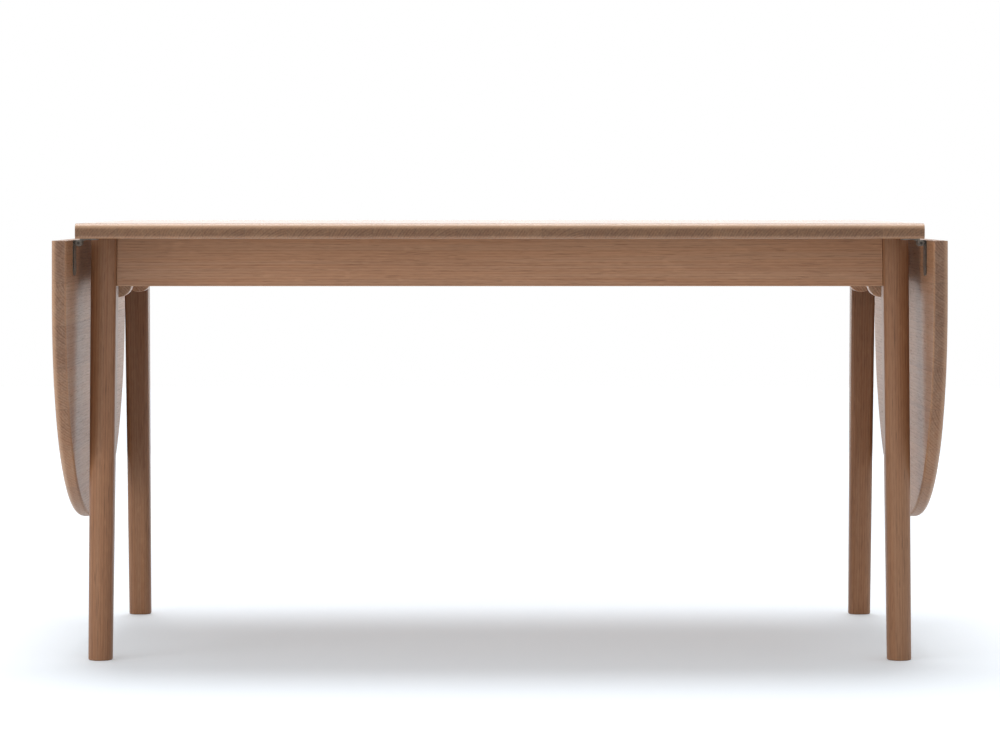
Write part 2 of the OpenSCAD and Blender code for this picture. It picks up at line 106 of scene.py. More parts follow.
class Graph:
    """A node tree, with short calls for the nodes that the finishes use."""

    def __init__(self, tree: bpy.types.NodeTree) -> None:
        """Keep the tree to build in."""
        self.tree = tree

    def add(self, kind: str, values: Values = (), **settings: object) -> bpy.types.Node:
        """Add a node.

        Args:
            kind: Name of the node's type.
            values: What feeds its inputs, by name or in order.
            settings: Properties to set on the node.

        Returns:
            The new node.
        """
        node = self.tree.nodes.new(kind)
        for name, value in settings.items():
            setattr(node, name, value)
        return self.fill(node, values)

    def feed(self, socket: Socket, value: object) -> None:
        """Link a socket to an output, or set its own value.

        Args:
            socket: Input socket to feed.
            value: Output socket, number or tuple.
        """
        if isinstance(value, bpy.types.NodeSocket):
            self.tree.links.new(value, socket)
        else:
            socket.default_value = value

    def fill(self, node: bpy.types.Node, values: Values) -> bpy.types.Node:
        """Feed some of a node's inputs.

        Args:
            node: The node.
            values: What feeds them, by name or in order.

        Returns:
            The node itself.
        """
        for key, value in values.items() if isinstance(values, dict) else enumerate(values):
            self.feed(node.inputs[key], value)
        return node

    def math(self, operation: str, *values: Number, clamp: bool = False) -> Socket:
        """Combine numbers with one Math node, and keep the result between 0 and 1 on request."""
        return self.add("ShaderNodeMath", values, operation=operation, use_clamp=clamp).outputs[0]

    def total(self, base: Number, *terms: tuple[Number, Number]) -> Socket:
        """Add weighted numbers to a base.

        Args:
            base: Number to start from.
            terms: Pairs of a number and its weight.

        Returns:
            The sum's socket.
        """
        for value, weight in terms:
            base = self.math("MULTIPLY_ADD", value, weight, base)
        return base

    def spread(
        self, value: Number, low: float, high: float, to_low: float = 0.0, to_high: float = 1.0
    ) -> Socket:
        """Map a range of numbers to another, smoothly and clamped.

        Args:
            value: Number to map.
            low: Start of its range.
            high: End of its range.
            to_low: Result at the start.
            to_high: Result at the end.

        Returns:
            The result's socket.
        """
        values = (value, low, high, to_low, to_high)
        return self.add("ShaderNodeMapRange", values, interpolation_type="SMOOTHSTEP").outputs[0]

    def split(self, vector: Socket) -> list[Socket]:
        """Return the three parts of a vector, or of a colour used as one."""
        return list(self.add("ShaderNodeSeparateXYZ", (vector,)).outputs)

    def join(self, *parts: Number) -> Socket:
        """Return a vector made of three numbers."""
        return self.add("ShaderNodeCombineXYZ", parts).outputs[0]

    def noise(
        self, parts: list[Socket], blobs: Point, detail: float = 1.0, roughness: float = 0.5,
        output: str | int = 0,
    ) -> Socket:
        """Add soft noise.

        Args:
            parts: Place in the noise, as three numbers.
            blobs: How many blobs a metre holds in each of the three directions.
            detail: Number of finer layers.
            roughness: Strength of each finer layer against the one before.
            output: Name or number of the output.

        Returns:
            Socket of the noise, 0 to 1.
        """
        place = self.join(*[self.math("MULTIPLY", p, b) for p, b in zip(parts, blobs)])
        values = {"Vector": place, "Scale": 1.0, "Detail": detail, "Roughness": roughness}
        return self.add("ShaderNodeTexNoise", values).outputs[output]

    def dice(self, number: Number) -> Socket:
        """Return a colour of three chance numbers that hang on one number alone."""
        return self.add("ShaderNodeTexWhiteNoise", {"W": number}, noise_dimensions="1D").outputs["Color"]

    def mix(self, share: Number, first: object, second: object, blend: str = "MIX") -> Socket:
        """Mix two colours.

        Args:
            share: Share of the second colour, or of the blend.
            first: Colour or socket to start from.
            second: Colour or socket to mix in.
            blend: Name of the blend mode.

        Returns:
            The mixed colour's socket.
        """
        node = self.add("ShaderNodeMix", data_type="RGBA", blend_type=blend)
        sockets = [s for s in node.inputs if s.enabled]
        for socket, value in zip((sockets[0], *sockets[-2:]), (share, first, second)):
            self.feed(socket, value)
        return next(s for s in node.outputs if s.enabled)

    def bump(self, height: Socket, strength: float, distance: float) -> Socket:
        """Return the normal of a height, with the share of the effect and the metres of a height of 1."""
        values = {"Strength": strength, "Distance": distance, "Height": height}
        return self.add("ShaderNodeBump", values).outputs[0]


def rgba(shade: Shade) -> tuple[float, float, float, float]:
    """Turn a colour as it shows on a screen, 0 to 255, into a linear one."""
    linear = [(v / 255 / 12.92) if v <= 10 else ((v / 255 + 0.055) / 1.055) ** 2.4 for v in shade]
    return (*linear, 1.0)


def new_material(name: str) -> tuple[bpy.types.Material, Graph, bpy.types.Node]:
    """Start a material.

    Args:
        name: Name of the material.

    Returns:
        The material, its graph and its shader.
    """
    material = bpy.data.materials.new(name)
    material.use_nodes = True
    graph = Graph(material.node_tree)
    return material, graph, graph.tree.nodes["Principled BSDF"]


def new_group(
    name: str, inputs: dict[str, Kind], outputs: dict[str, Kind]
) -> tuple[Graph, dict[str, Socket], dict[str, Socket]]:
    """Start a shader node group.

    Args:
        name: Name of the group.
        inputs: Kind of each input, by name.
        outputs: Kind of each output, by name.

    Returns:
        The group's graph, its inner input sockets by name and its inner output sockets by name.
    """
    tree = bpy.data.node_groups.new(name, "ShaderNodeTree")
    for side, kinds in (("INPUT", inputs), ("OUTPUT", outputs)):
        for label, kind in kinds.items():
            tree.interface.new_socket(label, in_out=side, socket_type=kind.value)
    graph = Graph(tree)
    source = graph.add("NodeGroupInput")
    sink = graph.add("NodeGroupOutput")
    return graph, {k: source.outputs[k] for k in inputs}, {k: sink.inputs[k] for k in outputs}


class TimberGroup:
    """Node group of solid timber: growth rings, fibres, pores, ray flecks and staves glued side by side,
    with a mask for a painted highlight on rounded edges.

    Place and Facing hold a point and a normal as across, through and along the board. Cell is the size of
    one board in those directions, so that each board has chance values of its own. The constants from
    FIBRES to BEND are the blobs of noise to a metre, across, through and along the board.
    """

    FIBRES = (400.0, 400.0, 11.0)
    FINE_FIBRES = (640.0, 640.0, 62.0)
    CLOUDS = (16.0, 16.0, 1.6)
    PORES = (760.0, 760.0, 26.0)
    FLECKS = (70.0, 300.0, 34.0)
    SPECKS = (290.0, 190.0, 3.0)
    WARMTH = (90.0, 90.0, 1.5)
    BEND = (7.0, 7.0, 0.9)
    WARM = (1.0, 0.93, 0.86, 1.0)
    TRUNK = 9.0  # length from which the boards are drawn, in metres
    GLUE_LINE = 0.0007  # half the width of a glue line, in metres

    def __init__(self) -> None:
        """Build the group once."""
        g, i, o = new_group(
            "timber",
            {
                "Place": Kind.VECTOR, "Facing": Kind.VECTOR, "Cell": Kind.VECTOR, "Heart": Kind.VECTOR,
                "Ring Width": Kind.FLOAT, "Wander": Kind.FLOAT, "Seed": Kind.FLOAT,
                "Light": Kind.COLOR, "Dark": Kind.COLOR, "Pore": Kind.COLOR, "End": Kind.COLOR,
                "Roughness": Kind.FLOAT,
            },
            {"Color": Kind.COLOR, "Roughness": Kind.FLOAT, "Height": Kind.FLOAT, "Face": Kind.FLOAT,
             "Painted Highlight": Kind.FLOAT},
        )
        place, cell = g.split(i["Place"]), g.split(i["Cell"])
        index = [g.math("FLOOR", g.math("ADD", g.math("DIVIDE", p, c), 0.5)) for p, c in zip(place, cell)]
        # unlike weights, so that no two boards share a number
        board = g.total(i["Seed"], (index[0], 1.0), (index[1], 17.0), (index[2], 43.0))
        chance = g.split(g.dice(board))
        tone = g.split(g.dice(g.math("ADD", board, 0.5)))
        across, through, _ = [
            g.math("MULTIPLY_ADD", n, g.math("MULTIPLY", c, -1.0), p) for n, c, p in zip(index, cell, place)
        ]
        along = g.math("MULTIPLY_ADD", chance[2], self.TRUNK, place[2])
        local = [across, through, along]
        rings = self._rings(g, i, local, chance)
        fibres = g.noise(local, self.FIBRES, 2.0, 0.6)
        fine = g.noise(local, self.FINE_FIBRES)
        clouds = g.noise(local, self.CLOUDS, 2.0)
        pores = g.spread(g.noise(local, self.PORES), 0.60, 0.70)
        flecks = g.spread(g.noise(local, self.FLECKS), 0.64, 0.74)
        _, outward, lengthways = g.split(i["Facing"])
        end = g.math("POWER", g.math("ABSOLUTE", lengthways), 4.0)
        # painted highlight on rounded edges: 1 half way round the arc of an outer edge, and a quarter of
        # that on the inner side
        level = g.math("SUBTRACT", 1.0, g.math("MULTIPLY", outward, outward), clamp=True)
        facing_out = g.math("MAXIMUM", outward, g.math("MULTIPLY", outward, -0.25))
        painted_highlight = g.math("MULTIPLY", facing_out, g.math("MULTIPLY", g.math("SQRT", level), 2.0))
        specks = g.math("SUBTRACT", g.noise(local, self.SPECKS, 2.0, 0.65), 0.5)
        warmth = g.spread(g.noise(local, self.WARMTH), 0.38, 0.62, 0.0, 0.8)
        inward = g.math("SUBTRACT", g.math("MULTIPLY", cell[0], 0.5), g.math("ABSOLUTE", across))
        joint = g.spread(inward, 0.0, self.GLUE_LINE, 1.0, 0.0)
        ring_share = g.total(0.42, (end, 0.50))
        dark = g.total(
            -0.40, (rings, ring_share), (fibres, 0.50), (fine, 0.42), (clouds, 0.42), (tone[0], 0.22),
            (flecks, -0.12), (g.math("MULTIPLY", specks, end), 1.5), (end, -0.14),
        )
        color = g.mix(g.math("ADD", dark, 0.0, clamp=True), i["Light"], i["Dark"])
        color = g.mix(g.math("MULTIPLY", pores, 0.34), color, i["Pore"])
        color = g.mix(g.math("MULTIPLY", joint, 0.35), color, i["Pore"])
        color = g.mix(warmth, color, self.WARM, "MULTIPLY")
        color = g.mix(end, color, i["End"], "MULTIPLY")
        g.feed(o["Color"], color)
        g.feed(o["Roughness"], g.total(i["Roughness"], (fibres, 0.10), (pores, 0.08), (end, 0.06)))
        g.feed(o["Face"], g.math("SUBTRACT", 1.0, end))
        # mask of the painted highlight on rounded edges, brightest where they face outward
        g.feed(o["Painted Highlight"], g.math("POWER", painted_highlight, 1.6))
        g.feed(o["Height"], g.total(0.5, (pores, -0.35), (fibres, 0.25), (fine, 0.15), (joint, -0.5)))
        self.tree = g.tree

    def _rings(self, g: Graph, i: dict[str, Socket], local: list[Socket], chance: list[Socket]) -> Socket:
        """Build the growth rings, each dark at its outer side.

        Args:
            g: Graph of the group.
            i: The group's inner input sockets.
            local: Place in the board, as across, through and along.
            chance: Three chance numbers of the board.

        Returns:
            Socket of the rings' darkness, 0 to 1.
        """
        heart = g.split(i["Heart"])
        bend = g.split(g.noise(local, self.BEND, 2.0, output="Color"))
        sides = []
        for k in range(2):  # each board's heart lies 0.6 to 1.4 times as far off
            jitter = g.math("MULTIPLY_ADD", chance[k], 0.8, 0.6)
            offset = g.math("MULTIPLY", heart[k], jitter)
            wave = g.math("MULTIPLY", g.math("SUBTRACT", bend[k], 0.5), i["Wander"])
            sides.append(g.math("ADD", g.math("SUBTRACT", local[k], offset), wave))
        radius = g.math("SQRT", g.total(g.math("MULTIPLY", sides[0], sides[0]), (sides[1], sides[1])))
        count = g.math("DIVIDE", radius, i["Ring Width"])
        share = g.math("FRACT", count)
        strength = g.split(g.dice(g.math("FLOOR", count)))[0]
        return g.math("MULTIPLY", g.math("POWER", share, 2.2), g.total(0.35, (strength, 0.65)))


class ArrisGroup:
    """Node group that finds edges and breaks them up, for the light wear along them."""

    PATCHES = (40.0, 40.0, 40.0)  # worn patches to a metre

    def __init__(self) -> None:
        """Build the group once."""
        inputs = {"Radius": Kind.FLOAT, "Place": Kind.VECTOR}
        g, i, o = new_group("arris_wear", inputs, {"Wear": Kind.FLOAT})
        bevel = g.add("ShaderNodeBevel", {"Radius": i["Radius"]}, samples=3)
        plain = g.add("ShaderNodeNewGeometry")
        normals = (bevel.outputs[0], plain.outputs["Normal"])
        turn = g.add("ShaderNodeVectorMath", normals, operation="DOT_PRODUCT")
        edge = g.spread(turn.outputs["Value"], 0.995, 0.90)
        worn = g.noise(g.split(i["Place"]), self.PATCHES, 3.0)
        patches = g.spread(worn, 0.35, 0.65, 0.45, 1.0)
        g.feed(o["Wear"], g.math("MULTIPLY", edge, patches))
        self.tree = g.tree


class BrushedGroup:
    """Node group of fine brushing lines on metal, with faint smudges.

    LINES and SMUDGES are the blobs of noise to a metre.
    """

    LINES = (900.0, 60.0, 900.0)
    SMUDGES = (70.0, 70.0, 70.0)

    def __init__(self) -> None:
        """Build the group once."""
        g, i, o = new_group(
            "brushed",
            {"Place": Kind.VECTOR, "Roughness": Kind.FLOAT, "Bright": Kind.COLOR, "Dull": Kind.COLOR},
            {"Color": Kind.COLOR, "Roughness": Kind.FLOAT, "Height": Kind.FLOAT},
        )
        parts = g.split(i["Place"])
        lines = g.noise(parts, self.LINES, 2.0)
        smudges = g.noise(parts, self.SMUDGES, 3.0)
        g.feed(o["Color"], g.mix(g.total(-0.2, (smudges, 0.9), (lines, 0.4)), i["Bright"], i["Dull"]))
        g.feed(o["Roughness"], g.total(i["Roughness"], (lines, 0.14), (smudges, 0.12)))
        g.feed(o["Height"], lines)
        self.tree = g.tree


# ---- Finishes ----


@dataclass(frozen=True)
class OiledTimber:
    """Oiled timber with straight grain.

    Attributes:
        light: Colour between the rings.
        dark: Colour of the rings' outer sides.
        pore: Colour of the pores and of the glue lines.
        end: Tint of the end grain, which drinks more oil.
        worn: Colour of the wear along the edges, and of the painted highlight on rounded edges.
        roughness: Roughness of the oiled surface.
        gloss: Strength of its reflections, where 0.5 is that of plain lacquer.
        wax: Share of a smoother film over it.
        wax_roughness: Roughness of that film.
        painted_highlight: Share of the worn colour painted on rounded edges as a highlight.
        wear: Share of the worn colour on sharp edges.
        wear_radius: How far that wear reaches from the edge, in metres.
        relief: Height of the grain, in metres.
        ring: Width of a growth ring, in metres.
        wander: How far the grain strays from straight, in metres.
    """

    light: Shade = (185, 142, 108)
    dark: Shade = (134, 91, 63)
    pore: Shade = (80, 52, 35)
    end: Shade = (200, 198, 196)
    worn: Shade = (214, 178, 146)
    roughness: float = 0.36
    gloss: float = 0.5
    wax: float = 0.0
    wax_roughness: float = 0.14
    painted_highlight: float = 0.0
    wear: float = 0.30
    wear_radius: float = 0.003
    relief: float = 0.0005
    ring: float = 0.0042
    wander: float = 0.008

    def material(
        self,
        groups: "Groups",
        name: str,
        grain: Grain,
        cell: Point,
        heart: tuple[float, float],
        middle: Point = (0.0, 0.0, 0.0),
        lean: float = 0.0,
        outer: float = 1.0,
        seed: float = 0.0,
    ) -> bpy.types.Material:
        """Make the material of boards that lie one way.

        Args:
            groups: The shared node groups.
            name: Name of the material.
            grain: Axes across, through and along the boards.
            cell: Size of one board across, through and along, in metres.
            heart: Distance of the tree's heart from a board's middle, across and through, in metres.
            middle: Point from which the cells are counted.
            lean: How far the grain leans outward along Y for each metre up.
            outer: 1 or -1, the way through the boards to their outer side.
            seed: Number that sets the chance values apart.

        Returns:
            The material.
        """
        material, g, shader = new_material(name)
        coordinates = g.add("ShaderNodeTexCoord")
        spot = g.add("ShaderNodeVectorMath", (coordinates.outputs["Object"], middle), operation="SUBTRACT")
        parts = dict(zip("XYZ", g.split(spot.outputs[0])))
        if lean:
            outward = g.math("MULTIPLY", g.math("SIGN", parts["Y"]), lean)
            parts["Y"] = g.math("MULTIPLY_ADD", outward, parts["Z"], parts["Y"])
        normal = dict(zip("XYZ", g.split(coordinates.outputs["Normal"])))
        across, through, along = [normal[a] for a in grain.value]
        timber = g.add("ShaderNodeGroup", {
            "Place": g.join(*[parts[a] for a in grain.value]),
            "Facing": g.join(across, g.math("MULTIPLY", through, outer), along),
            "Cell": cell, "Heart": (*heart, 0.0), "Ring Width": self.ring, "Wander": self.wander,
            "Light": rgba(self.light), "Dark": rgba(self.dark), "Pore": rgba(self.pore),
            "End": rgba(self.end), "Seed": seed,
            "Roughness": self.roughness - 0.05,  # about what the fibres add again
        }, node_tree=groups.timber.tree).outputs
        edges = g.add("ShaderNodeGroup", {
            "Radius": self.wear_radius, "Place": coordinates.outputs["Object"],
        }, node_tree=groups.arris.tree).outputs
        # edge wear on sharp edges plus the painted highlight on rounded edges, both in the worn colour
        worn = g.total(0.0, (edges["Wear"], self.wear), (timber["Painted Highlight"], self.painted_highlight))
        g.fill(shader, {
            "Base Color": g.mix(worn, timber["Color"], rgba(self.worn)),
            "Roughness": g.total(timber["Roughness"], (worn, -0.15)),
            "Normal": g.bump(timber["Height"], 0.30, self.relief),
            "Specular IOR Level": self.gloss,
        })
        if self.wax:
            film = g.math("MULTIPLY", timber["Face"], self.wax)
            g.fill(shader, {"Coat Weight": film, "Coat Roughness": self.wax_roughness})
        return material


@dataclass(frozen=True)
class BrushedSteel:
    """Bare steel with fine brushing lines.

    Attributes:
        bright: Colour of the clean metal.
        dull: Colour of the smudges.
        cut: Colour of the cut edges, which face the front and the rear: dull cut steel, and painted shade
            where it is set near black.
        cut_and_shade_share: Share of that colour there.
        roughness: Lowest roughness.
        relief: Height of the brushing lines, in metres.
    """

    bright: Shade = (178, 172, 164)
    dull: Shade = (122, 116, 108)
    cut: Shade = (112, 106, 99)
    cut_and_shade_share: float = 0.85
    roughness: float = 0.36
    relief: float = 0.0002

    def material(self, groups: "Groups", name: str) -> bpy.types.Material:
        """Make the material.

        Args:
            groups: The shared node groups.
            name: Name of the material.

        Returns:
            The material.
        """
        material, g, shader = new_material(name)
        coordinates = g.add("ShaderNodeTexCoord")
        brushed = g.add("ShaderNodeGroup", {
            "Place": coordinates.outputs["Object"], "Roughness": self.roughness,
            "Bright": rgba(self.bright), "Dull": rgba(self.dull),
        }, node_tree=groups.brushed.tree).outputs
        # faces towards the front and the rear take the cut colour: dull cut steel, darkened further with
        # painted shade where that colour is near black
        facing = g.math("ABSOLUTE", g.split(coordinates.outputs["Normal"])[1])
        cut = g.math("MULTIPLY", facing, self.cut_and_shade_share)
        g.fill(shader, {
            "Base Color": g.mix(cut, brushed["Color"], rgba(self.cut)),
            "Roughness": brushed["Roughness"],
            "Normal": g.bump(brushed["Height"], 0.2, self.relief),
            "Metallic": 1.0,
        })
        return material


@dataclass
class Groups:
    """The node groups that the finishes share."""

    timber: TimberGroup = field(default_factory=TimberGroup)
    arris: ArrisGroup = field(default_factory=ArrisGroup)
    brushed: BrushedGroup = field(default_factory=BrushedGroup)


# ---- Meshes ----


def quarter(turns: float, steps: int) -> list[tuple[float, float]]:
    """Return cosines and sines over a quarter circle that starts after some quarter turns."""
    angles = [math.pi / 2 * (turns + k / steps) for k in range(steps + 1)]
    return [(math.cos(a), math.sin(a)) for a in angles]


def round_corners(corners: list[tuple[float, float, float]], steps: int = 6) -> Outline:
    """Round the corners of a convex outline that runs anticlockwise.

    Args:
        corners: Each corner's two coordinates and its radius.
        steps: Facets of each corner.

    Returns:
        The rounded outline.
    """
    outline: Outline = []
    for k, (x, y, radius) in enumerate(corners):
        here = Vector((x, y))
        back = (Vector(corners[k - 1][:2]) - here).normalized()
        ahead = (Vector(corners[(k + 1) % len(corners)][:2]) - here).normalized()
        half = back.angle(ahead) / 2
        centre = here + (back + ahead).normalized() * (radius / math.sin(half))
        start = here + back * (radius / math.tan(half)) - centre
        end = here + ahead * (radius / math.tan(half)) - centre
        sweep = start.angle(end)
        for n in range(steps + 1):
            share = n / steps
            arm = start * math.sin((1 - share) * sweep) + end * math.sin(share * sweep)
            outline.append(tuple(centre + arm / math.sin(sweep)))
    return outline


def inset(outline: Outline, by: float) -> Outline:
    """Draw in an anticlockwise outline.

    Args:
        outline: Points of the outline.
        by: Distance to draw it in.

    Returns:
        As many points, each moved inward.
    """
    moved: Outline = []
    for k, point in enumerate(outline):
        here = Vector(point)
        back = (here - Vector(outline[k - 1])).normalized()
        ahead = (Vector(outline[(k + 1) % len(outline)]) - here).normalized()
        normal = Vector((-back.y - ahead.y, back.x + ahead.x)).normalized()
        moved.append(tuple(here + normal * (by / max(0.5, normal.dot(Vector((-back.y, back.x)))))))
    return moved


def smooth(mesh: bpy.types.Mesh) -> None:
    """Shade a mesh smoothly, but for its sharp edges."""
    mesh.shade_smooth()
    mesh.set_sharp_from_angle(angle=SHARP)


def into_scene(name: str, bm: bmesh.types.BMesh) -> bpy.types.Object:
    """Put a mesh into the scene.

    Args:
        name: Name of the mesh and of its object.
        bm: The mesh, which is freed.

    Returns:
        The object.
    """
    mesh = bpy.data.meshes.new(name)
    bm.to_mesh(mesh)
    bm.free()
    thing = bpy.data.objects.new(name, mesh)
    bpy.context.scene.collection.objects.link(thing)
    return thing


@dataclass
class Piece:
    """A finished piece of the table.

    Attributes:
        name: Name of the piece.
        body: CAD body that it rides on.
        slot: Record's slot of its finish; not used.
        material: Its finish.
        stands_for: CAD nodes that it replaces.
    """

    name: str
    body: str
    slot: Slot
    material: bpy.types.Material
    stands_for: tuple[str, ...]

    def from_mesh(self, bm: bmesh.types.BMesh) -> bpy.types.Object:
        """Make the piece from a mesh in the frame's own place.

        Args:
            bm: The mesh, which is freed.

        Returns:
            The new object, riding on its body.
        """
        bmesh.ops.recalc_face_normals(bm, faces=bm.faces)
        piece = into_scene(self.name, bm)
        piece.data.materials.append(self.material)
        smooth(piece.data)
        even = piece.modifiers.new("even_shading", "WEIGHTED_NORMAL")
        even.keep_sharp = True
        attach(piece, self.body)
        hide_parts(*self.stands_for)
        log.info("%s rides on %s, %d faces", self.name, self.body, len(piece.data.polygons))
        return piece


def loft(rings: list[Ring], bm: bmesh.types.BMesh | None = None) -> bmesh.types.BMesh:
    """Make a closed solid through rings of equally many points.

    Args:
        rings: The rings, in order.
        bm: Mesh to add it to, or none for a new one.

    Returns:
        The mesh, flat at both ends.
    """
    bm = bmesh.new() if bm is None else bm
    rows = [[bm.verts.new(p) for p in ring] for ring in rings]
    count = len(rings[0])
    for low, high in zip(rows, rows[1:]):
        for k in range(count):
            n = (k + 1) % count
            bm.faces.new((low[k], low[n], high[n], high[k]))
    bm.faces.new(rows[0])
    bm.faces.new(rows[-1])
    return bm


def along_x(outline: Outline, low: float, high: float, arris: float) -> bmesh.types.BMesh:
    """Extrude an outline of Y and Z along X.

    Args:
        outline: Anticlockwise outline.
        low: Start of the piece.
        high: End of the piece.
        arris: Radius at the ends.

    Returns:
        The mesh.
    """
    steps = [(arris * (1 - s), arris * (1 - c)) for c, s in quarter(0, TINY_ARC)]
    start = [(low + d, i) for i, d in steps]
    end = [(high - d, i) for i, d in reversed(steps)]
    return loft([[(x, y, z) for y, z in inset(outline, i)] for x, i in start + end])


def dress(node: str, material: bpy.types.Material, arris: float) -> None:
    """Give a CAD node its finish and softly broken edges.

    Args:
        node: Name of the node.
        material: The finish.
        arris: Width of the broken edges, or 0 for none.
    """
    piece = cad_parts[node]
    for entry in piece.material_slots:
        entry.link = "OBJECT"
        entry.material = material
    weld = piece.modifiers.new("weld", "WELD")
    weld.merge_threshold = 0.001 * MM
    if arris:
        flat = piece.modifiers.new("flat_faces", "DECIMATE")
        flat.decimate_type = "DISSOLVE"
        flat.angle_limit = FLAT
        broken = piece.modifiers.new("broken_edges", "BEVEL")
        broken.width = arris
        broken.segments = ARRIS_STEPS
        broken.limit_method = "ANGLE"
        broken.angle_limit = ARRIS_TURN
        broken.harden_normals = True
    log.info("%s keeps its form and gets %s", node, material.name)


# ---- Sub-assemblies ----


@dataclass
class TableTop:
    """The fixed top.

    Attributes:
        upper_radius: Radius of the upper edge on the long sides.
        lower_radius: Radius of the lower edge there.
        arris: Radius at the ends, where the leaves meet it.
        staves: Number of boards that it is glued up from.
        timber: Its finish, with a painted highlight on its rounded edges.
    """

    upper_radius: float = 10.5 * MM
    lower_radius: float = 6 * MM
    arris: float = 0.6 * MM
    staves: int = 20
    # its rounded edges get a painted highlight in the worn colour
    timber: OiledTimber = OiledTimber(end=(176, 170, 158), roughness=0.36, wax=0.3, painted_highlight=0.42)

    def build(self, groups: Groups) -> None:
        """Build and dress the top.

        Args:
            groups: The shared node groups.
        """
        low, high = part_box("tabletop")
        under = [(y, low.z, self.lower_radius) for y in (low.y, high.y)]
        over = [(y, high.z, self.upper_radius) for y in (high.y, low.y)]
        outline = round_corners(under + over, FINE_ARC)
        stave = (high.x - low.x) / self.staves
        material = self.timber.material(
            groups, "top_timber", Grain.TOP, cell=(stave, UNDIVIDED, UNDIVIDED), heart=(0.07, -0.06),
            middle=(stave / 2, 0.0, (low.z + high.z) / 2), seed=3.0,
        )
        board = along_x(outline, low.x, high.x, self.arris)
        Piece("fixed_top", "table_frame", Slot.WOOD, material, ("tabletop",)).from_mesh(board)


@dataclass
class DropLeaf:
    """A half-oval leaf that hangs at one end.

    Attributes:
        side: left or right.
        straight: Straight stretch of its sides below the hinges.
        fullness: Exponent of the half oval, where 2 is an ellipse.
        outer_radius: Radius round the face that is up when the leaf is raised.
        inner_radius: Radius round the other face.
        staves: Number of boards that it is glued up from.
        inlet: Depth to which the hinge plates are let in.
        inlet_air: Air round a hinge plate in its recess.
        past: How far the cutter of a recess reaches past the leaf.
        plate_corner: Radius of the hinge plates' corners.
        points: Number of facets round the half oval.
        timber: Its finish, with a painted highlight on its rounded edges.
    """

    side: str
    straight: float = 80 * MM
    fullness: float = 2.2
    outer_radius: float = 10 * MM
    inner_radius: float = 4 * MM
    staves: int = 7
    inlet: float = 1 * MM
    inlet_air: float = 0.4 * MM
    past: float = 10 * MM
    plate_corner: float = 12 * MM
    points: int = 96
    # its rounded edges get a painted highlight in the worn colour
    timber: OiledTimber = OiledTimber(end=(188, 190, 198), roughness=0.45, gloss=0.44, painted_highlight=0.2)

    def _outline(self, low: Vector, high: Vector, by: float) -> Outline:
        """Draw the outline in Y and Z.

        Args:
            low: Low corner of the leaf's box.
            high: High corner of the leaf's box.
            by: Distance to draw it in, everywhere but at the hinged edge.

        Returns:
            The outline.
        """
        half, shoulder = high.y - by, high.z - self.straight
        reach = shoulder - low.z - by
        power = 2 / self.fullness
        sweep = [math.pi * k / self.points for k in range(self.points // 2)]
        side = [(half * math.cos(a) ** power, shoulder - reach * math.sin(a) ** power) for a in sweep]
        left_side = [(-y, z) for y, z in side]
        return [(-half, high.z), *left_side, (0.0, low.z + by), *reversed(side), (half, high.z)]

    def build(self, groups: Groups) -> None:
        """Build the leaf, cut the hinge recesses and dress it.

        Args:
            groups: The shared node groups.
        """
        node = f"leaf_{self.side}"
        low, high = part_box(node)
        sign = 1.0 if high.x > 0 else -1.0
        inner, outer = (low.x, high.x) if sign > 0 else (high.x, low.x)
        r_in, r_out = self.inner_radius, self.outer_radius
        stations = [(inner + sign * r_in * (1 - c), r_in * (1 - s)) for c, s in quarter(0, SMALL_ARC)]
        stations += [(outer - sign * r_out * (1 - s), r_out * (1 - c)) for c, s in quarter(0, FINE_ARC)]
        bm = loft([[(x, y, z) for y, z in self._outline(low, high, by)] for x, by in stations])
        material = self.timber.material(
            groups, f"leaf_timber_{self.side}", Grain.UPRIGHT_ALONG_Y,
            cell=((high.z - low.z) / self.staves, abs(inner + outer) / 2, UNDIVIDED), heart=(0.07, 0.05),
            middle=(0.0, 0.0, (low.z + high.z) / 2), outer=sign, seed=11.0 * sign,
        )
        board = Piece(f"leaf_board_{self.side}", f"{self.side}_leaf", Slot.WOOD, material, (node,))
        self._cut(board.from_mesh(bm), self._cutter(inner, high.z, sign))

    def _cutter(self, inner: float, edge: float, sign: float) -> bpy.types.Object:
        """Make the shape that cuts the recesses for the hinge plates.

        Args:
            inner: X of the leaf's inner face.
            edge: Z of its hinged edge.
            sign: 1 at the right end, -1 at the left.

        Returns:
            The cutter's object.
        """
        plates = [v.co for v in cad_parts[f"hinge_leaf_plates_{self.side}"].data.vertices]
        bm = bmesh.new()
        for near in (-1.0, 1.0):
            group = [p for p in plates if p.y * near > 0]
            y0 = min(p.y for p in group) - self.inlet_air
            y1 = max(p.y for p in group) + self.inlet_air
            z0, z1 = min(p.z for p in group) - self.inlet_air, edge + self.past
            outline = round_corners(
                [(y0, z0, self.plate_corner), (y1, z0, self.plate_corner), (y1, z1, MM), (y0, z1, MM)]
            )
            depths = (-sign * self.past, sign * self.inlet)
            loft([[(inner + x, y, z) for y, z in outline] for x in depths], bm)
        bmesh.ops.recalc_face_normals(bm, faces=bm.faces)
        return into_scene("recess", bm)

    @staticmethod
    def _cut(leaf: bpy.types.Object, cutter: bpy.types.Object) -> None:
        """Cut the recesses into a leaf, before its shading is evened.

        Args:
            leaf: The leaf's object.
            cutter: The cutter's object, which is removed.
        """
        cut = leaf.modifiers.new("recess", "BOOLEAN")
        cut.operation = "DIFFERENCE"
        cut.solver = "EXACT"
        cut.object = cutter
        leaf.modifiers.move(leaf.modifiers.find("recess"), 0)
        bpy.context.view_layer.update()
        graph = bpy.context.evaluated_depsgraph_get()
        even = leaf.modifiers["even_shading"]
        even.show_viewport = False
        graph.update()
        cut_mesh = bpy.data.meshes.new_from_object(leaf.evaluated_get(graph))
        even.show_viewport = True
        leaf.modifiers.remove(cut)
        old, leaf.data = leaf.data, cut_mesh
        cut_mesh.name = leaf.name
        bpy.data.meshes.remove(old)
        bpy.data.objects.remove(cutter)
        smooth(cut_mesh)


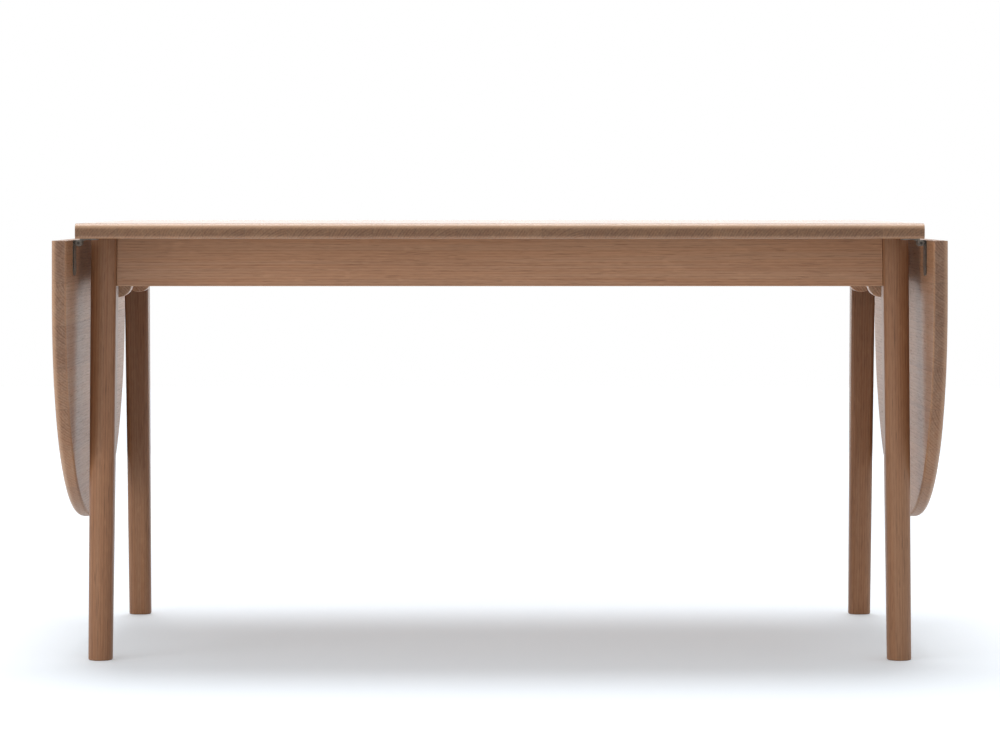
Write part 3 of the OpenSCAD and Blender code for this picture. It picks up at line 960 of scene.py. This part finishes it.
@dataclass(frozen=True)
class LegSection:
    """Section of a leg at one height, in metres.

    Attributes:
        width: Size along the table.
        depth: Size across the table.
        crown: Depth of the rounded outer side.
        corner: Radius of the two inner corners.
    """

    width: float
    depth: float
    crown: float
    corner: float

    def towards(self, other: "LegSection", share: float) -> "LegSection":
        """Return the section some share of the way to another."""
        pairs = zip(astuple(self), astuple(other))
        return LegSection(*[a + (b - a) * share for a, b in pairs])

    def outline(self, by: float, steps: int) -> Outline:
        """Draw the section about its middle, with the outer side towards +Y.

        Args:
            by: Distance to draw it in all round.
            steps: Facets of the rounded side.

        Returns:
            The anticlockwise outline.
        """
        w, d, crown = self.width / 2 - by, self.depth / 2 - by, self.crown - by
        r = max(0.5 * MM, self.corner - by)
        oval = [math.pi * k / steps for k in range(steps + 1)]
        points = [(w * math.cos(a), d - crown + crown * math.sin(a)) for a in oval]
        points += [(-w + r + r * c, -d + r + r * s) for c, s in quarter(2, FINE_ARC)]
        points += [(w - r + r * c, -d + r + r * s) for c, s in quarter(3, FINE_ARC)]
        return points


@dataclass
class SplayedLegs:
    """The four legs, rounded on their outer side and flat on the sides that meet the rails.

    Attributes:
        head: Section at the rails.
        foot: Section at the floor.
        below_rails: Height over which the section stays the same, down to below the rails.
        foot_radius: Radius round the foot.
        top_radius: Radius round the top.
        spans: Lengths into which a leg is divided below the rails.
        oval_steps: Facets of the rounded side.
        timber: Their finish.
    """

    head: LegSection = LegSection(43 * MM, 48 * MM, 12 * MM, 4 * MM)
    foot: LegSection = LegSection(40.5 * MM, 38 * MM, 19 * MM, 15 * MM)
    below_rails: float = 15 * MM
    foot_radius: float = 2.5 * MM
    top_radius: float = 1 * MM
    spans: int = 8
    oval_steps: int = 36
    timber: OiledTimber = OiledTimber(
        light=(163, 120, 87), dark=(117, 77, 52), pore=(66, 42, 29), roughness=0.42, gloss=0.4
    )

    def build(self, groups: Groups) -> None:
        """Build and dress the four legs.

        Args:
            groups: The shared node groups.
        """
        low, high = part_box("leg_rear_right")
        foot_y = high.y - self.foot.depth / 2
        head_y = low.y + self.head.depth / 2
        straight_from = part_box("long_rail_rear")[0].z - self.below_rails
        slope = (foot_y - head_y) / high.z
        material = self.timber.material(
            groups, "leg_timber", Grain.LEG, cell=((low.x + high.x) / 2, foot_y, UNDIVIDED),
            heart=(0.16, 0.04), lean=slope, seed=5.0,
        )
        for end in ("left", "right"):
            for side in ("front", "rear"):
                node = f"leg_{side}_{end}"
                low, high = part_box(node)
                outward = 1.0 if side == "rear" else -1.0
                rings = [
                    [((low.x + high.x) / 2 + x, outward * (foot_y - slope * z + y), z) for x, y in section]
                    for z, section in self._stations(high.z, straight_from)
                ]
                Piece(f"shaped_{node}", "table_frame", Slot.WOOD, material, (node,)).from_mesh(loft(rings))

    def _stations(self, top: float, straight_from: float) -> list[tuple[float, Outline]]:
        """Find the heights of a leg's rings and the section at each.

        Args:
            top: Height of the leg.
            straight_from: Height above which the section stays the same.

        Returns:
            Pairs of a height and a section.
        """
        foot, head = self.foot_radius, self.top_radius
        stations = [(foot * (1 - s), foot * (1 - c)) for c, s in quarter(0, SMALL_ARC)]
        stations += [(straight_from * k / self.spans, 0.0) for k in range(1, self.spans + 1)]
        stations += [(top - head * (1 - s), head * (1 - c)) for c, s in quarter(0, TINY_ARC)]
        return [
            (z, self.foot.towards(self.head, min(1.0, z / straight_from)).outline(by, self.oval_steps))
            for z, by in sorted(stations)
        ]


@dataclass
class RailFrame:
    """Long rails, cross rails and corner blocks under the top.

    Attributes:
        arris: Width of the broken edges.
        inner_arris: Share of that width on the rails and blocks inside.
        apart: Spacing at which the pieces inside count as boards of their own.
        timber: Finish of the long rails.
        inner: Finish of the rails and blocks inside.
    """

    arris: float = 1.2 * MM
    inner_arris: float = 0.7
    apart: float = 0.3
    timber: OiledTimber = OiledTimber()
    inner: OiledTimber = OiledTimber(light=(186, 147, 116), dark=(136, 97, 71))

    def build(self, groups: Groups) -> None:
        """Dress the rails and the blocks.

        Args:
            groups: The shared node groups.
        """
        low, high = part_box("long_rail_rear")
        middle = (0.0, 0.0, (low.z + high.z) / 2)
        long_timber = self.timber.material(
            groups, "rail_timber", Grain.UPRIGHT_ALONG_X, heart=(0.13, 0.05), middle=middle, seed=7.0,
            cell=(UNDIVIDED, (low.y + high.y) / 2, UNDIVIDED),
        )
        cross_timber = self.inner.material(
            groups, "cross_rail_timber", Grain.UPRIGHT_ALONG_Y, heart=(0.12, 0.05), middle=middle, seed=23.0,
            cell=(UNDIVIDED, self.apart, UNDIVIDED),
        )
        block_timber = self.inner.material(
            groups, "block_timber", Grain.LEG, cell=(self.apart, self.apart, UNDIVIDED), heart=(0.1, 0.1),
            seed=31.0,
        )
        for node in ("long_rail_front", "long_rail_rear"):
            dress(node, long_timber, self.arris)
        for node in ("end_rail_left", "end_rail_right", "middle_rail_left", "middle_rail_right"):
            dress(node, cross_timber, self.arris * self.inner_arris)
        dress("corner_blocks", block_timber, self.arris * self.inner_arris)


@dataclass
class LeafSupport:
    """A bar on two arms that pulls out from below one end of the top.

    Attributes:
        side: left or right.
        arris: Width of the broken edges.
        peg_arris: Share of that width on the pegs.
        apart: Spacing at which the arms count as boards of their own.
        below: Depth of the arms' middle below the bar's upper face.
        timber: Its finish, painted paler than the rails' to stand in for the light that the floor throws up
            under the top.
    """

    side: str
    arris: float = 1.0 * MM
    peg_arris: float = 0.5
    apart: float = 0.17
    below: float = 0.02
    # painted light: paler colours and end grain than the rails', for the light thrown up from the floor
    # under the top
    timber: OiledTimber = OiledTimber(light=(216, 176, 146), dark=(172, 130, 102), end=(252, 250, 246))

    def build(self, groups: Groups) -> None:
        """Dress the bar, the arms and the pegs.

        Args:
            groups: The shared node groups.
        """
        low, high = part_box(f"support_bar_{self.side}")
        sign = 1.0 if high.x > 0 else -1.0
        bar = self.timber.material(
            groups, f"bar_timber_{self.side}", Grain.UPRIGHT_ALONG_Y, cell=(UNDIVIDED,) * 3,
            heart=(0.05, 0.10), middle=((low.x + high.x) / 2, 0.0, (low.z + high.z) / 2), seed=41.0 * sign,
        )
        arms = self.timber.material(
            groups, f"arm_timber_{self.side}", Grain.UPRIGHT_ALONG_X,
            cell=(UNDIVIDED, self.apart, UNDIVIDED), heart=(0.1, 0.04),
            middle=(0.0, 0.0, high.z - self.below), seed=47.0 * sign,
        )
        dress(f"support_bar_{self.side}", bar, self.arris)
        dress(f"support_arms_{self.side}", arms, self.arris)
        dress(f"support_pegs_{self.side}", bar, self.arris * self.peg_arris)


@dataclass
class Ironmongery:
    """Hinges, brackets and screws.

    Attributes:
        arris: Width of the broken edges.
        steel: Finish of the plates under the top.
        shaded_edge_steel: Finish of the leaf plates and pins, whose cut edges are dull and painted near
            black as shade along the plates' edges.
        zinc: Finish of the screws.
    """

    arris: float = 0.3 * MM
    steel: BrushedSteel = BrushedSteel()
    # painted shade: the cut edges that face the front and the rear are near black
    shaded_edge_steel: BrushedSteel = BrushedSteel(cut=(58, 54, 50))
    zinc: BrushedSteel = BrushedSteel(bright=(190, 190, 188), dull=(150, 150, 148), roughness=0.2)

    def build(self, groups: Groups) -> None:
        """Dress the metal parts.

        Args:
            groups: The shared node groups.
        """
        plate = self.steel.material(groups, "hinge_steel")
        knuckle = self.shaded_edge_steel.material(groups, "knuckle_steel")
        screw = self.zinc.material(groups, "screw_zinc")
        for node in ("hinge_top_plates", "top_brackets"):
            dress(node, plate, self.arris)
        for node in ("hinge_leaf_plates_left", "hinge_leaf_plates_right", "hinge_pins"):
            dress(node, knuckle, self.arris)
        for node in (
            "hinge_top_screws", "hinge_leaf_screws_left", "hinge_leaf_screws_right", "bracket_screws"
        ):
            dress(node, screw, 0.0)


# ---- Studio ----


@dataclass(frozen=True)
class Lamp:
    """A lamp of the studio.

    Attributes:
        name: Name of the lamp.
        kind: Its kind.
        place: Where it hangs.
        target: Point that it faces.
        power: Watts of a panel, or strength of a far lamp.
        size: Width and height of a panel.
        softness: Angle that a far lamp fills, in degrees.
        mirrored: Whether its outline may show in oiled faces.
    """

    name: str
    kind: LampKind
    place: Point
    target: Point
    power: float
    size: tuple[float, float] = (1.0, 1.0)
    softness: float = 0.0
    mirrored: bool = True

    def hang(self) -> None:
        """Hang the lamp."""
        data = bpy.data.lights.new(self.name, self.kind.value)
        data.energy = self.power
        if self.kind is LampKind.PANEL:
            data.shape = "RECTANGLE"
            data.size, data.size_y = self.size
        else:
            data.angle = math.radians(self.softness)
        lamp = bpy.data.objects.new(self.name, data)
        lamp.visible_camera = False
        lamp.visible_glossy = self.mirrored
        lamp.location = self.place
        lamp.rotation_euler = (Vector(self.target) - Vector(self.place)).to_track_quat("-Z", "Y").to_euler()
        bpy.context.scene.collection.objects.link(lamp)


@dataclass
class Studio:
    """Pale floor, soft light and the camera.

    Attributes:
        lens: Focal length in millimetres.
        sensor: Width of the camera's sensor in millimetres.
        distance: Distance of the camera in front of the table's middle.
        eye: Height of the camera.
        shift: Shift of the picture to the side and upward.
        clip: Nearest and farthest distance that the camera sees.
        floor_size: Side of the floor.
        floor_color: Colour of the floor under the lamps.
        floor_glow: Light that the floor adds where it shows, so that it is white but for the shadow.
        room: Strength of the even light from all round.
        lamps: The lamps.
    """

    lens: float = 124.56
    sensor: float = 36.0
    distance: float = 6.107
    eye: float = 0.770
    shift: tuple[float, float] = (0.0002, -0.176)
    clip: tuple[float, float] = (0.1, 60.0)
    floor_size: float = 16.0
    floor_color: tuple[float, float, float, float] = (0.705, 0.76, 0.815, 1.0)
    floor_glow: float = 0.215
    room: float = 0.60
    lamps: tuple[Lamp, ...] = (
        Lamp("front_panel", LampKind.PANEL, (-1.7, -3.8, 1.0), (-0.2, 0.0, 0.5), 22.0, (3.4, 1.8),
             mirrored=False),
        Lamp("side_panel", LampKind.PANEL, (-3.1, -2.3, 0.9), (-0.4, 0.0, 0.4), 22.0, (1.4, 1.4),
             mirrored=False),
        Lamp("rear_panel", LampKind.PANEL, (0.0, 4.2, 1.3), (0.0, 0.0, 0.6), 28.0, (5.0, 2.4)),
        Lamp("key_sky", LampKind.FAR, (-0.1, 1.0, 4.0), (0.0, 0.0, 0.0), 1.8, softness=34.0),
    )

    def build(self) -> None:
        """Build the floor, the world, the lamps and the camera."""
        bpy.context.scene.view_settings.view_transform = "Standard"
        self._camera()
        self._floor()
        self._world()
        for lamp in self.lamps:
            lamp.hang()

    def _camera(self) -> None:
        """Place the level camera in front."""
        data = bpy.data.cameras.new("front_camera")
        data.lens, data.sensor_width = self.lens, self.sensor
        data.shift_x, data.shift_y = self.shift
        data.clip_start, data.clip_end = self.clip
        camera = bpy.data.objects.new("front_camera", data)
        camera.location = (0.0, -self.distance, self.eye)
        camera.rotation_euler = (math.pi / 2, 0.0, 0.0)
        bpy.context.scene.collection.objects.link(camera)
        bpy.context.scene.camera = camera

    def _floor(self) -> None:
        """Lay the floor, which shows white to the camera and keeps the table's shadow."""
        bm = bmesh.new()
        bmesh.ops.create_grid(bm, x_segments=1, y_segments=1, size=self.floor_size / 2)
        floor = into_scene("studio_floor", bm)
        material, g, shader = new_material("pale_floor")
        glow = g.math("MULTIPLY", self._seen(g), self.floor_glow)
        g.fill(shader, {
            "Base Color": self.floor_color, "Roughness": 0.9, "Specular IOR Level": 0.1,
            "Emission Color": WHITE, "Emission Strength": glow,
        })
        floor.data.materials.append(material)

    @staticmethod
    def _seen(g: Graph) -> Socket:
        """Find the rays that show the background, directly or in gloss or glass.

        Args:
            g: Graph of the floor's material or of the world.

        Returns:
            Socket of 1 for such a ray, and else 0.
        """
        path = g.add("ShaderNodeLightPath")
        gloss = g.math("MAXIMUM", path.outputs["Is Camera Ray"], path.outputs["Is Glossy Ray"])
        return g.math("MAXIMUM", gloss, path.outputs["Is Transmission Ray"])

    def _world(self) -> None:
        """Fill the room with even light, and show it white behind the table and in its gloss."""
        world = bpy.data.worlds.new("studio_room")
        bpy.context.scene.world = world
        world.use_nodes = True
        g = Graph(world.node_tree)
        light = g.fill(g.tree.nodes["Background"], {"Color": WHITE, "Strength": self.room})
        white = g.add("ShaderNodeBackground", {"Color": WHITE, "Strength": 1.0})
        either = g.add("ShaderNodeMixShader", (self._seen(g), light.outputs[0], white.outputs[0]))
        g.fill(g.tree.nodes["World Output"], {"Surface": either.outputs[0]})


def main() -> None:
    """Build the table round its frame."""
    logging.basicConfig(level=logging.INFO, format="%(name)s: %(message)s")
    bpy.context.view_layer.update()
    groups = Groups()
    Studio().build()
    parts = [TableTop(), SplayedLegs(), RailFrame(), Ironmongery()]
    for side in ("left", "right"):
        parts += [DropLeaf(side), LeafSupport(side)]
    for part in parts:
        part.build(groups)


if __name__ == "__main__":
    main()
